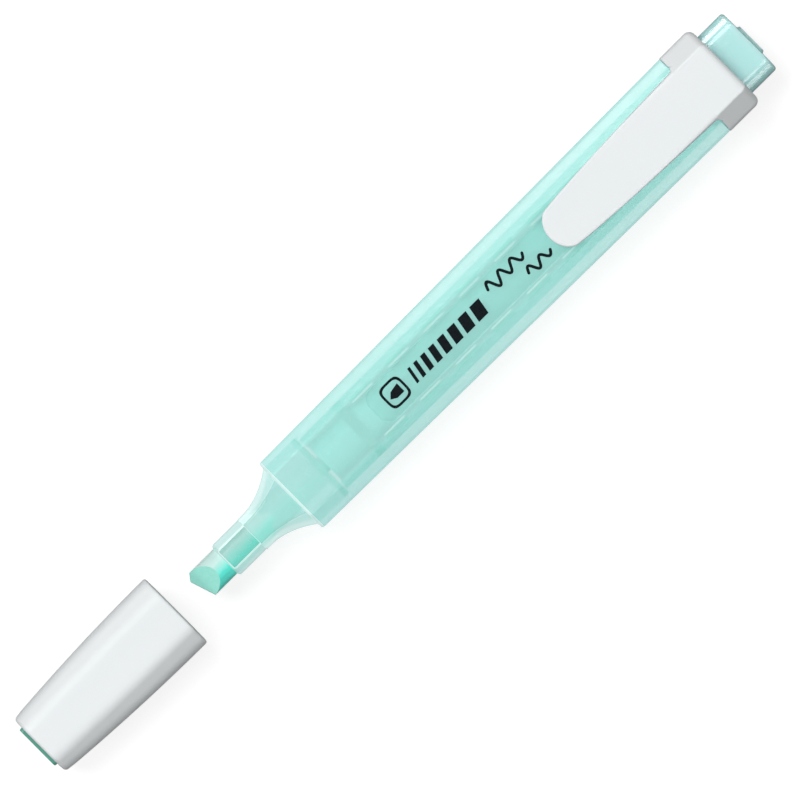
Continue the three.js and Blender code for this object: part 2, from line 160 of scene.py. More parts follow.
CAP_END_ROUND, CAP_MOUTH_ROUND = 0.7, 0.4
CAP_WALL = 0.82
CAP_END_WALL = 1.2
LINER_WALL = 0.6
LINER_BASE = 1.6
KEY_HALF_WIDTH = 4.15
KEY_HALF_DEPTH = 1.7

ARC_STEPS = 6  # steps in one rounded corner of an outline
PLAIN_SIDES = (3, 5, 10, 5, 3, 5, 10, 5)  # steps along an outline's eight sides


# ---- outlines across the pen: corners as (y, z, rounding radius), anticlockwise seen from the front ----


def octagon(half, up, down=None, rounds=(FLAT_ROUND, SIDE_ROUND)):
    """Flat front and back, upright sides and slanted facets. up and down are (height, flat, side height)."""
    top, top_flat, top_side = up
    bottom, bottom_flat, bottom_side = down or up
    flat, side = rounds
    return [
        (half, -bottom_side, side),
        (half, top_side, side),
        (top_flat, top, flat),
        (-top_flat, top, flat),
        (-half, top_side, side),
        (-half, -bottom_side, side),
        (-bottom_flat, -bottom, flat),
        (bottom_flat, -bottom, flat),
    ]


def directions(outline, i):
    """Unit vectors along the sides that come into and leave corner i."""
    here, before = Vector(outline[i][:2]), Vector(outline[i - 1][:2])
    after = Vector(outline[(i + 1) % len(outline)][:2])
    return (here - before).normalized(), (after - here).normalized()


def inset(outline, distance):
    """The outline drawn inwards."""
    moved = []
    for i, (y, z, radius) in enumerate(outline):
        into, out = directions(outline, i)
        step = distance / (1 + into.dot(out))
        moved.append((y - (into.y + out.y) * step, z + (into.x + out.x) * step, max(radius - distance, 0.05)))
    return moved


def corner_arc(outline, i, arc_steps):
    """Points of the rounded corner i."""
    y, z, radius = outline[i]
    into, out = directions(outline, i)
    turn = math.acos(max(-1.0, min(1.0, into.dot(out))))
    neighbours = (outline[i - 1], outline[(i + 1) % len(outline)])
    shortest = min((Vector((y, z)) - Vector(other[:2])).length for other in neighbours)
    back = min(radius * math.tan(turn / 2), 0.48 * shortest)
    bend = back / math.tan(turn / 2)
    left = Vector((-into.y, into.x))
    middle = Vector((y, z)) - into * back + left * bend
    angles = [turn * step / arc_steps for step in range(arc_steps + 1)]
    return [middle - left * (bend * math.cos(a)) + into * (bend * math.sin(a)) for a in angles]


def section(outline, sides=PLAIN_SIDES, arc_steps=ARC_STEPS):
    """Points round an outline: an arc at each corner and a few steps along each side."""
    arcs = [corner_arc(outline, i, arc_steps) for i in range(len(outline))]
    points = []
    for i, arc in enumerate(arcs):
        following = arcs[(i + 1) % len(arcs)][0]
        points += arc
        points += [arc[-1].lerp(following, step / sides[i]) for step in range(1, sides[i])]
    return points


def at_station(at, points):
    """A ring of (at, y, z) from points across the pen."""
    return [(at, p.x, p.y) for p in points]


def ring(at, outline, sides=PLAIN_SIDES, arc_steps=ARC_STEPS):
    return at_station(at, section(outline, sides, arc_steps))


def round_ring(at, radius, like):
    """A circle with as many points as another ring, in the same directions."""
    return at_station(at, [Vector(point[1:]).normalized() * radius for point in like])


def edge_steps(radius, steps=4):
    """(distance in from the end, distance in from the side) down a rounded edge, from side to end."""
    angles = [math.pi / 2 * step / steps for step in range(steps + 1)]
    return [(radius * (1 - math.sin(a)), radius * (1 - math.cos(a))) for a in angles]


def rounded_end(at, outline, radius, toward, sides=PLAIN_SIDES, arc_steps=ARC_STEPS, steps=4):
    """Rings of an end edge rounded over; toward is -1 at a front end and 1 at a rear end."""
    rings = [
        ring(at - toward * depth, inset(outline, inward), sides, arc_steps)
        for depth, inward in edge_steps(radius, steps)
    ]
    return rings[::-1] if toward < 0 else rings


# ---- meshes ----


def place(at, y, z):
    return (SHOULDER + at * MM, y * MM, AXIS + z * MM)


def mesh_piece(name, shape, material, sharp_degrees=32):
    """A smooth-shaded mesh of (points, faces), with creases where its faces turn sharply."""
    points, faces = shape
    mesh = bpy.data.meshes.new(name)
    mesh.from_pydata([place(*point) for point in points], [], faces)
    built = bmesh.new()
    built.from_mesh(mesh)
    bmesh.ops.remove_doubles(built, verts=built.verts, dist=1e-7)
    bmesh.ops.dissolve_degenerate(built, edges=built.edges, dist=1e-8)
    bmesh.ops.recalc_face_normals(built, faces=built.faces)
    if built.calc_volume(signed=True) < 0:
        bmesh.ops.reverse_faces(built, faces=built.faces)
    for face in built.faces:
        face.smooth = True
    built.to_mesh(mesh)
    built.free()
    mesh.set_sharp_from_angle(angle=math.radians(sharp_degrees))
    mesh.materials.append(material)
    piece = bpy.data.objects.new(name, mesh)
    bpy.context.scene.collection.objects.link(piece)
    weighted = piece.modifiers.new("even_flats", "WEIGHTED_NORMAL")
    weighted.keep_sharp = True
    weighted.weight = 80
    return piece


def skin(rings, loop=False):
    """Points and faces of a solid through rings. A loop joins its last ring to its first."""
    count = len(rings[0])
    points = [point for line in rings for point in line]
    pairs = [(k, k + 1) for k in range(len(rings) - 1)] + ([(len(rings) - 1, 0)] if loop else [])
    faces = []
    for near, far in pairs:
        for i in range(count):
            j = (i + 1) % count
            faces.append((near * count + i, near * count + j, far * count + j, far * count + i))
    if not loop:
        faces.append(tuple(range(count))[::-1])
        faces.append(tuple(range((len(rings) - 1) * count, len(rings) * count)))
    return points, faces


def merged(*shapes):
    """Several sets of points and faces as one."""
    points, faces = [], []
    for more_points, more_faces in shapes:
        start = len(points)
        points += more_points
        faces += [tuple(i + start for i in face) for face in more_faces]
    return points, faces


def stations(start, end, size):
    """Even stations from start to end, no further apart than size."""
    count = max(1, math.ceil(abs(end - start) / size))
    return [start + (end - start) * i / count for i in range(count + 1)]


def smooth(value):
    value = max(0.0, min(1.0, value))
    return value * value * (3 - 2 * value)


def lerp(start, end, share):
    return start + (end - start) * share


# ---- materials ----


def add_node(tree, kind, inputs, **settings):
    """A new shader node. Its inputs are linked to other nodes' outputs, or set to values."""
    node = tree.nodes.new("ShaderNode" + kind)
    for setting, value in settings.items():
        setattr(node, setting, value)
    for name, value in inputs.items():
        if isinstance(value, bpy.types.NodeSocket):
            tree.links.new(value, node.inputs[name])
        else:
            node.inputs[name].default_value = value
    return node


def add_range(tree, value, start, end, low, high):
    """A value between start and end, spread over low to high."""
    limits = {"From Min": start, "From Max": end, "To Min": low, "To Max": high}
    return add_node(tree, "MapRange", {"Value": value, **limits}).outputs["Result"]


class Finish:
    """A procedural material: one principled shader, with helpers for the nodes that vary it."""

    def __init__(self, name, colour, roughness, **sockets):
        self.material = bpy.data.materials.new(name)
        self.material.use_nodes = True
        self.tree = self.material.node_tree
        self.shader = self.tree.nodes["Principled BSDF"]
        self.shader.inputs["Base Color"].default_value = (*colour, 1)
        self.shader.inputs["Roughness"].default_value = roughness
        for socket, value in sockets.items():
            self.shader.inputs[socket.replace("_", " ")].default_value = value
        self.roughness = roughness
        self.place = add_node(self.tree, "TexCoord", {}).outputs["Object"]

    def stretched(self, scale):
        """The piece's own coordinates, stretched along one or more axes."""
        return add_node(self.tree, "Mapping", {"Vector": self.place, "Scale": scale}).outputs["Vector"]

    def noise(self, scale, detail, place=None):
        inputs = {"Scale": scale, "Detail": detail, "Vector": place or self.place}
        return add_node(self.tree, "TexNoise", inputs).outputs["Fac"]

    def ranged(self, value, low, high, start=0.3, end=0.7):
        """A texture's value between start and end, spread over low to high."""
        return add_range(self.tree, value, start, end, low, high)

    def mottle(self, value, other, amount):
        """The base colour goes part of the way to another colour where the texture is high."""
        self.turn_to(other, self.ranged(value, 0.0, amount))

    def turn_to(self, other, share):
        """The base colour goes to another colour by a share that varies over the surface."""
        base = self.shader.inputs["Base Color"]
        under = base.links[0].from_socket if base.is_linked else tuple(base.default_value)
        inputs = {"A": under, "B": (*other, 1), "Factor": share}
        mix = add_node(self.tree, "Mix", inputs, data_type="RGBA")
        self.tree.links.new(mix.outputs["Result"], base)

    def paint_shade_across(self, colour, start, end):
        """Painted shade across the pen: the colour deepens from one distance in millimetres from its middle
        to another.
        """
        across = add_node(self.tree, "SeparateXYZ", {"Vector": self.place}).outputs["Y"]
        wobble = 0.8 * MM
        inputs = {0: self.noise(900, 3), 1: wobble, 2: across}
        uneven = add_node(self.tree, "Math", inputs, operation="MULTIPLY_ADD").outputs["Value"]
        start, end = start * MM + wobble / 2, end * MM + wobble / 2
        self.turn_to(colour, self.ranged(uneven, 0.0, 1.0, start, end))

    def vary_roughness(self, value, spread):
        varied = self.ranged(value, self.roughness - spread, self.roughness + spread)
        self.tree.links.new(varied, self.shader.inputs["Roughness"])

    def bump(self, value, height, strength=1.0):
        """Relief of a height in millimetres, added to any relief that is there."""
        inputs = {"Distance": height * MM, "Strength": strength, "Height": value}
        normal = self.shader.inputs["Normal"]
        if normal.is_linked:
            inputs["Normal"] = normal.links[0].from_socket
        self.tree.links.new(add_node(self.tree, "Bump", inputs).outputs["Normal"], normal)

    def mix_in(self, kind, share, tint):
        """A share of another kind of shader, of one colour."""
        other = add_node(self.tree, kind, {"Color": (*tint, 1)}).outputs["BSDF"]
        surface = self.tree.nodes["Material Output"].inputs["Surface"]
        inputs = {"Fac": share, 1: surface.links[0].from_socket, 2: other}
        self.tree.links.new(add_node(self.tree, "MixShader", inputs).outputs["Shader"], surface)

    def scatter(self, colour, strength):
        """An emission of one colour, the same on every side. On the mint plastics and the ink fibre it is
        painted glow, standing in for light spread inside; on the floor it keeps the floor evenly bright.
        """
        self.shader.inputs["Emission Color"].default_value = (*colour, 1)
        self.shader.inputs["Emission Strength"].default_value = strength

    def glow_through(self, share, tint):
        """Light from behind makes the surface glow."""
        self.mix_in("BsdfTranslucent", share, tint)

    def let_light_through(self, share, tint):
        """What lies behind shows, tinted."""
        self.mix_in("BsdfTransparent", share, tint)


def moulded(name, colour, paler, roughness, grain=0.006, **sockets):
    """Moulded plastic: a faint flow mottle, a fine spark-eroded grain and slightly uneven gloss."""
    finish = Finish(name, colour, roughness, **sockets)
    finish.mottle(finish.noise(90, 4, finish.stretched((0.35, 1, 1))), paler, 0.6)
    finish.vary_roughness(finish.noise(700, 3), 0.05)
    finish.bump(finish.noise(5200, 2), grain)
    finish.bump(finish.noise(110, 1), 0.012, 0.25)
    return finish


def white_plastic():
    colours = ((0.72, 0.755, 0.765), (0.75, 0.775, 0.785))
    return moulded("white_plastic", *colours, 0.5, Specular_IOR_Level=0.35).material


# Mint plastic: colour, share of light let through, its tint, then roughness, painted glow and grain.
MINTS = {
    "barrel_mint": ((0.61, 0.85, 0.83), 0.55, (0.88, 0.98, 0.975)),
    # the barrel's slanted and upright sides: a copy of its plastic tuned to how light falls on them, painted
    # light
    "side_mint": ((0.54, 0.88, 0.855), 0.52, (0.86, 0.985, 0.975)),
    "panel_mint": ((0.52, 0.77, 0.74), 0.52, (0.82, 0.97, 0.96), 0.2, 0.4, 0.002),
    # the bore's slanted corners: a deeper, darker mint, partly the colour of the thicker plastic there and
    # partly painted shade beside the reservoir
    "corner_shade_mint": ((0.24, 0.80, 0.72), 0.72, (0.78, 0.985, 0.96), 0.6),
    # the ribs' deeper mint; it also paints the skirt's rear band as shade of the gap behind it
    "rib_and_gap_shade_mint": ((0.28, 0.78, 0.69), 0.4, (0.76, 0.98, 0.95)),
    # painted highlight, where an edge or a rim gathers the light
    "edge_highlight_mint": ((0.84, 0.98, 0.97), 0.2, (0.94, 0.998, 0.99), 0.2, 0.5),
    # the skirt, with a stronger painted glow
    "skirt_mint": ((0.54, 0.86, 0.83), 0.5, (0.86, 0.985, 0.975), 0.25, 0.5),
    "neck_mint": ((0.62, 0.84, 0.83), 0.6, (0.94, 0.99, 0.985), 0.2),
    # the slanted and upright sides of the neck, where the wall is seen edgewise, painted paler: painted
    # highlight
    "neck_side_highlight_mint": ((0.80, 0.99, 0.98), 0.42, (0.94, 0.99, 0.985), 0.2, 0.5),
    # the wide hollow inside the neck, a deeper and darker mint
    "cavity_mint": ((0.50, 0.82, 0.78), 0.5, (0.80, 0.98, 0.965), 0.35),
    # the thick sides of the nib holder, and its thin flats with the nib close behind
    "holder_mint": ((0.65, 0.85, 0.84), 0.3, (0.92, 0.995, 0.99), 0.34, 0.5),
    "window_mint": ((0.50, 0.71, 0.69), 0.78, (0.90, 0.94, 0.935), 0.18, 0.25),
    # the inside of a wall: nearly clear, with a little gloss
    "clear_wall": ((0.66, 0.93, 0.90), 0.93, (0.975, 0.998, 0.993), 0.3),
}


def mint(name):
    return translucent(name, *MINTS[name])


def translucent(name, colour, share, tint, roughness=0.24, scatter=0.4, grain=0.004):
    """Plastic that lets a share of the light through, with a painted glow of its own colour for the light it
    would spread sideways inside.
    """
    lit = [channel * (1 - scatter) for channel in colour]
    paler = [channel + 0.1 for channel in lit]
    finish = moulded(name, lit, paler, roughness, grain, IOR=1.49)
    finish.scatter(colour, scatter)
    finish.glow_through(0.2, colour)
    finish.let_light_through(share, tint)
    return finish.material


def solid_mint():
    colours = ((0.47, 0.78, 0.765), (0.51, 0.80, 0.785))
    finish = moulded("solid_mint", *colours, 0.16, 0.003, IOR=1.52, Subsurface_Weight=0.7)
    finish.shader.inputs["Subsurface Radius"].default_value = (0.7, 1.0, 0.95)
    finish.shader.inputs["Subsurface Scale"].default_value = 3 * MM
    return finish.material


def cap_mint():
    return moulded("cap_mint", (0.07, 0.30, 0.22), (0.085, 0.33, 0.25), 0.35).material


def nib_fibre():
    """Pressed fibre, paler on its +Y side where the key light falls and deeper towards −Y: painted light and
    shade.
    """
    finish = fibre("nib_fibre", (0.56, 0.77, 0.73), (0.50, 0.74, 0.69))
    # painted shade: the nib deepens towards −Y, away from the key light
    finish.paint_shade_across((0.10, 0.80, 0.67), 0.9, -1.1)
    return finish.material


def nib_cut():
    """The worn cut faces at the tip."""
    return fibre("nib_cut", (0.32, 0.76, 0.66), (0.28, 0.72, 0.62)).material


def fibre(name, colour, darker):
    finish = Finish(name, colour, 0.9, Sheen_Weight=0.2)
    strands = finish.noise(2600, 3, finish.stretched((0.12, 1, 1)))
    finish.mottle(strands, darker, 0.8)
    finish.bump(strands, 0.05, 0.7)
    finish.bump(finish.noise(4200, 2), 0.03, 0.6)
    return finish


def ink_fibre():
    finish = fibre("ink_fibre", (0.30, 0.70, 0.66), (0.25, 0.66, 0.61))
    # painted glow: the ink fibre emits a little light of its own colour
    finish.scatter((0.30, 0.76, 0.72), 0.3)
    return finish.material


def film():
    finish = Finish("film", (0.55, 0.88, 0.84), 0.16, IOR=1.45)
    creases = finish.noise(240, 2, finish.stretched((0.3, 1, 1)))
    finish.vary_roughness(creases, 0.05)
    finish.bump(creases, 0.02, 0.6)
    finish.let_light_through(0.82, (0.93, 0.995, 0.985))
    return finish.material


def print_ink():
    finish = Finish("print_ink", (0.001, 0.005, 0.008), 0.6, Specular_IOR_Level=0.07)
    finish.mottle(finish.noise(3000, 3), (0.009, 0.011, 0.012), 0.7)
    finish.vary_roughness(finish.noise(2400, 2), 0.08)
    finish.bump(finish.noise(3500, 2), 0.004)
    return finish.material


# ---- pieces ----


def finished(piece, body, slot, *nodes):
    """The piece rides on a body and stands for CAD nodes. Its slot argument is not used."""
    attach(piece, body)
    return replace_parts(piece, *nodes)


def body_outline(at):
    share = at / COLLAR_AT
    half = lerp(SHOULDER_HALF_WIDTH, WAIST_HALF_WIDTH, share)
    return octagon(half, (BODY_HALF_DEPTH, BODY_FLAT, BODY_SIDE))


SEAT_OUTLINE = octagon(SEAT_HALF_WIDTH, (4.55, 3.9, 1.8))
SPIGOT_BORE = octagon(6.3, (3.6, 3.4, 1.3))
PANEL_EDGE_COLUMNS, PANEL_SLOPE_COLUMNS, PANEL_FLOOR_COLUMNS = 3, 4, 5
BARREL_FLAT_STEPS = 2 * (PANEL_EDGE_COLUMNS + PANEL_SLOPE_COLUMNS + PANEL_FLOOR_COLUMNS)
BARREL_SIDES = (3, 5, BARREL_FLAT_STEPS, 5, 3, 5, 10, 5)


def inside_panel(at, y):
    """Distance in from the print panel's outline, a rectangle with rounded corners."""
    corner = PANEL["corner"]
    along = abs(at - (PANEL["from"] + PANEL["to"]) / 2) - (PANEL["to"] - PANEL["from"]) / 2 + corner
    across = abs(y) - PANEL["half_width"] + corner
    outside = math.hypot(max(along, 0), max(across, 0)) + min(max(along, across), 0)
    return corner - outside


def panel_reach(at, inward):
    """Half-width of the panel at a station, drawn inwards by a distance."""
    corner = PANEL["corner"]
    radius = corner - inward
    past = max(PANEL["from"] + corner - at, at - PANEL["to"] + corner, 0)
    return PANEL["half_width"] - corner + math.sqrt(max(radius**2 - past**2, 0))


def barrel_ring(at):
    """The barrel's outside at a station. Across the front face, columns follow the sunk panel's edge."""
    points = section(body_outline(at), BARREL_SIDES)
    first = 3 * (ARC_STEPS + 1) + (BARREL_SIDES[0] - 1) + (BARREL_SIDES[1] - 1)
    edge = points[first - 1].x
    rim, floor = panel_reach(at, 0), panel_reach(at, PANEL["slope"])
    half = [lerp(edge, rim, i / PANEL_EDGE_COLUMNS) for i in range(1, PANEL_EDGE_COLUMNS)]
    half += [lerp(rim, floor, i / PANEL_SLOPE_COLUMNS) for i in range(PANEL_SLOPE_COLUMNS)]
    half += [lerp(floor, 0, i / PANEL_FLOOR_COLUMNS) for i in range(PANEL_FLOOR_COLUMNS)]
    columns = half + [0.0] + [-y for y in reversed(half)]
    for i, y in enumerate(columns):
        depth = PANEL["depth"] * smooth(inside_panel(at, y) / PANEL["slope"])
        points[first + i] = Vector((y, BODY_HALF_DEPTH - depth))
    return at_station(at, points)


def panel_stations():
    """Stations that follow the panel's rounded ends."""
    corner, slope = PANEL["corner"], PANEL["slope"]
    turns = [math.radians(a) for a in (0, 12, 20, 28, 36, 44, 52, 60, 68, 76, 83, 90)]
    steps = [slope * share for share in (0, 0.25, 0.5, 0.75)]
    steps += [corner * (1 - math.cos(a)) for a in turns if corner * (1 - math.cos(a)) > slope * 0.9]
    front = [PANEL["from"] + step for step in steps]
    rear = [PANEL["to"] - step for step in reversed(steps)]
    return front + stations(front[-1], rear[0], 4)[1:-1] + rear


def bore_half_width(at):
    return lerp(SHOULDER_HALF_WIDTH, WAIST_HALF_WIDTH, at / COLLAR_AT) - SIDE_WALL


def bore_outline(at, inward=0.0):
    """The barrel's inside at a station, behind the socket for the front section."""
    height = BODY_HALF_DEPTH - WALL
    return inset(octagon(bore_half_width(at), (height, BORE_FLAT, BORE_SIDE), rounds=BORE_ROUNDS), inward)


def barrel():
    """Barrel: a tapering tube open at both ends, with a sunk panel on its front face."""
    rings = rounded_end(0, body_outline(0), RIM_ROUND, -1, BARREL_SIDES)
    rings += [barrel_ring(at) for at in stations(1, PANEL["from"] - 0.5, 4) + panel_stations()]
    rear = COLLAR_AT - COLLAR_GAP
    rings += [barrel_ring(rear - 0.1), ring(rear, inset(body_outline(rear), 0.1), BARREL_SIDES)]
    rings += [ring(at, SEAT_OUTLINE, BARREL_SIDES) for at in (rear, BARREL_END_AT)]
    rings += [ring(at, SPIGOT_BORE, BARREL_SIDES) for at in (BARREL_END_AT, SPIGOT_AT)]
    rings += [ring(at, bore_outline(at), BARREL_SIDES) for at in (SPIGOT_AT, SOCKET_END_AT)]
    rings += [ring(at, inset(body_outline(at), WALL), BARREL_SIDES) for at in (SOCKET_END_AT, 0.3)]
    rings += [ring(0, inset(body_outline(0), WALL - 0.2), BARREL_SIDES)]
    piece = mesh_piece("barrel_shell", skin(rings, loop=True), mint("barrel_mint"))
    others = ("clear_wall", "panel_mint", "side_mint", "corner_shade_mint", "edge_highlight_mint")
    paint(piece, barrel_paint, *others)
    return finished(piece, "pen", "translucent_mint", "barrel")


def barrel_paint(spot, normal):
    """Name of the finish that a face of the barrel has."""
    at, y, z = spot
    if normal.y * y + normal.z * z < 0:
        # the bore's slanted corners: painted shade, partly the deeper colour of thicker plastic
        return "corner_shade_mint" if abs(normal.y) > 0.4 and at > SOCKET_END_AT else "clear_wall"
    # the front rim: painted highlight
    if at < 0.4:
        return "edge_highlight_mint"
    if z > BODY_HALF_DEPTH - 2 * PANEL["depth"] and inside_panel(at, y) > PANEL["slope"] / 2:
        return "panel_mint"
    # the slanted and upright sides take their own copy of the plastic: painted light
    return "side_mint" if abs(normal.y) > 0.25 else "barrel_mint"


def bore_ribs():
    """A ring around the reservoir, and two rows of short ribs in the corners of the bore."""
    piece = mesh_piece("bore_ribs", merged(ring_rib(), *pad_ribs()), mint("rib_and_gap_shade_mint"))
    paint(piece, rib_paint, "edge_highlight_mint", "clear_wall")
    return finished(piece, "pen", "translucent_mint")


def rib_paint(spot, normal):
    """Name of a rib face's finish. The short ribs' tops take the pale edge finish, a painted highlight, and
    show as pale dashes through the wall.
    """
    at, y, z = spot
    if at > PAD_RIB["from"] - 0.1:
        return "edge_highlight_mint" if normal.z > 0.8 else "rib_and_gap_shade_mint"
    return "clear_wall" if normal.y * y + normal.z * z < 0 else "rib_and_gap_shade_mint"


def ring_rib():
    """The ring fills the bore, and has a round hole for the reservoir."""
    end = RIB_AT + RIB_LENGTH
    edges = rib_edge(RIB_AT, 1) + rib_edge(end, -1)[::-1]
    rings = [ring(at, bore_outline(at, inward)) for at, inward in edges]
    rings += [round_ring(at, RESERVOIR_RADIUS + SLIP, rings[0]) for at in (end, RIB_AT)]
    return skin(rings, loop=True)


def rib_edge(at, toward):
    """Stations and depths of the ring's rounded edge: (station, distance inside the bore)."""
    return [(at, 0.16), (at + 0.05 * toward, 0.06), (at + 0.15 * toward, 0.02)]


def spot_of(point):
    """(at, y, z) in millimetres of a point in the frame."""
    return (point.x - SHOULDER) / MM, point.y / MM, (point.z - AXIS) / MM


def paint(piece, choose, *others):
    """Each face gets the finish that choose(spot, normal) names: the piece's own, or one of the others."""
    slots = {name: slot for slot, name in enumerate(others, 1)}
    for name in others:
        piece.data.materials.append(mint(name))
    for face in piece.data.polygons:
        face.material_index = slots.get(choose(spot_of(face.center), face.normal), 0)


def pad_ribs():
    """Short ribs that fill the bore's front corners."""
    root = BODY_HALF_DEPTH - WALL
    low = root - PAD_RIB["depth"]
    for side in (-1, 1):
        for i in range(PAD_RIB["count"]):
            start = PAD_RIB["from"] + i * PAD_RIB["pitch"]
            facet = (bore_half_width(start) - BORE_FLAT) / (root - BORE_SIDE)
            corner = [(BORE_FLAT, root), (PAD_RIB["inner"], root), (PAD_RIB["inner"], low)]
            corner += [(BORE_FLAT + facet * PAD_RIB["depth"], low)]
            middle = sum((Vector(spot) for spot in corner), Vector((0, 0))) / len(corner)
            rings = []
            for share, size in ((0, 0.7), (0.015, 0.92), (0.05, 1), (0.95, 1), (0.985, 0.92), (1, 0.7)):
                spots = [middle.lerp(Vector(spot), size * 0.99) for spot in corner]
                rings.append([(start + share * PAD_RIB["length"], side * p.x, p.y) for p in spots])
            yield skin(rings)


def neck_outline(at):
    """Full at the shoulder, dying away to the nib holder's size."""
    share = max(1 + at / NECK_LENGTH, 0) ** 2
    half, *face = [lerp(end, base, share) for end, base in zip(NECK_END, NECK_BASE)]
    return octagon(half, face, rounds=NECK_ROUNDS)


HOLDER_OUTLINE = octagon(3.34, (3.1, 2.0, 1.75), rounds=(0.7, 1.0))
NIB_OUTLINE = octagon(NIB_HALF_WIDTH, (NIB_HALF_DEPTH, 1.15, 1.0), rounds=(2.4, 2.4))
FINE_ARC = 14


def vented(at, outline):
    """The nib's bore at a station, with an air groove along the top and the bottom."""
    points = []
    for y, z in section(outline, arc_steps=FINE_ARC):
        deeper = smooth((VENT["half_width"] + VENT["edge"] - abs(y)) / (2 * VENT["edge"]))
        groove = math.copysign(NIB_HALF_DEPTH + VENT["depth"], z)
        points.append(Vector((y, lerp(z, groove, deeper))))
    return at_station(at, points)


def front_section():
    """Skirt inside the barrel, curved neck, and the stepped tube that grips the nib."""
    def line(at, outline):
        return ring(at, outline, arc_steps=FINE_ARC)

    skirt = [inset(body_outline(at), WALL + SLIP) for at in (0, SKIRT_END_AT)]
    bore = inset(NIB_OUTLINE, -NIB_FIT)
    rings = rounded_end(MOUTH_AT, HOLDER_OUTLINE, HOLDER_ROUND, -1, arc_steps=FINE_ARC)
    rings += [line(at, HOLDER_OUTLINE) for at in (*HOLDER_STATIONS, HOLDER_STEP_AT - 0.08)]
    rings += [line(HOLDER_STEP_AT, neck_outline(HOLDER_STEP_AT))]
    rings += [line(at, neck_outline(at)) for at in stations(HOLDER_STEP_AT + 0.6, -0.12, 0.5)]
    rings += [line(0, inset(neck_outline(0), -SHOULDER_RIDGE)), line(0, skirt[0])]
    rings += [line(at, skirt[1]) for at in (SKIRT_END_AT - SKIRT_BAND, SKIRT_END_AT - 0.25)]
    rings += [line(SKIRT_END_AT, inset(skirt[1], inward)) for inward in (0.2, SKIRT_WALL)]
    rings += [line(0.6, inset(skirt[0], SKIRT_WALL)), line(0, inset(neck_outline(0), WALL))]
    rings += [line(at, inset(neck_outline(at), WALL)) for at in stations(-0.5, CHAMBER_AT, 0.6)]
    rings += [vented(at, bore) for at in (*BORE_STATIONS, MOUTH_AT + 0.2)]
    rings += [vented(MOUTH_AT, inset(bore, -0.12))]
    piece = mesh_piece("front_section_shell", skin(rings, loop=True), mint("neck_mint"))
    others = ("neck_side_highlight_mint", "clear_wall", "cavity_mint", "holder_mint")
    paint(piece, front_paint, *others, "window_mint", "edge_highlight_mint", "skirt_mint", "rib_and_gap_shade_mint")
    return finished(piece, "pen", "translucent_mint", "front_section")


def front_paint(spot, normal):
    """Name of the finish that a face of the front section has."""
    at, y, z = spot
    # painted shade: the skirt's rear band takes the darker rib finish
    if at > SKIRT_END_AT - SKIRT_BAND:
        return "rib_and_gap_shade_mint"
    if normal.y * y + normal.z * z < 0:
        return "cavity_mint" if CHAMBER_AT - 0.05 < at < 0 else "clear_wall"
    if at > 0:
        return "skirt_mint"
    if at > HOLDER_STEP_AT:
        # the neck's slanted and upright sides: painted highlight
        return "neck_mint" if abs(normal.z) > 0.8 else "neck_side_highlight_mint"
    # the holder's corner roundings and its step: painted highlight
    if 0.75 < abs(normal.z) < 0.97 or at > HOLDER_STEP_AT - 0.05:
        return "edge_highlight_mint"
    return "window_mint" if abs(normal.z) > 0.97 else "holder_mint"


NIB_EDGE = {"y": 1.6, "z": -0.9, "thickness": 0.35}
# The nib's four cuts, each (slope in y, slope in z, height of the edge that it passes through).
NIB_CUTS = [
    (0, 0.78 / 0.62, NIB_EDGE["z"]),
    (0, -0.66 / 0.75, NIB_EDGE["z"] - NIB_EDGE["thickness"]),
    (-0.34, 0, NIB_EDGE["z"]),
    (0.81, 0, NIB_EDGE["z"]),
]


def nib_face(y, z):
    """Station of the cut end at a point of the rod's section, with its edges slightly worn."""
    wear = 0.09
    cuts = [across * (y - NIB_EDGE["y"]) + up * (z - edge) for across, up, edge in NIB_CUTS]
    high = max(cuts)
    return NIB_TIP_AT + high + wear * math.log(sum(math.exp((cut - high) / wear) for cut in cuts))


def nib():
    """A rod of pressed fibre, cut to a slanted chisel edge, with a round tail in the reservoir."""
    outer = section(NIB_OUTLINE, arc_steps=FINE_ARC)
    cut = []
    for step in range(NIB_STEPS, 0, -1):
        share = math.sin(math.pi / 2 * step / NIB_STEPS) if step < NIB_STEPS else 1.0
        cut.append([(nib_face(p.x * share, p.y * share), p.x * share, p.y * share) for p in outer])
    tail_at = NIB_TAIL_AT - NIB_TAIL["length"]
    side = [at_station(at, outer) for at in stations(-15.5, tail_at - 0.3, 3)]
    like = side[0]
    side += [ring(tail_at, inset(NIB_OUTLINE, 0.3), arc_steps=FINE_ARC)]
    side += [round_ring(at, NIB_TAIL["radius"], like) for at in (tail_at, NIB_TAIL_AT - 0.5)]
    side += [round_ring(NIB_TAIL_AT, NIB_TAIL["radius"] - 0.45, like)]
    piece = mesh_piece("nib_tip", skin(cut[::-1] + side), nib_fibre(), 40)
    piece.data.materials.append(nib_cut())
    for face in piece.data.polygons:
        if face.normal.x < -0.3 and spot_of(face.center)[0] < MOUTH_AT:
            face.material_index = 1
    return finished(piece, "pen", "nib_fibre", "nib")


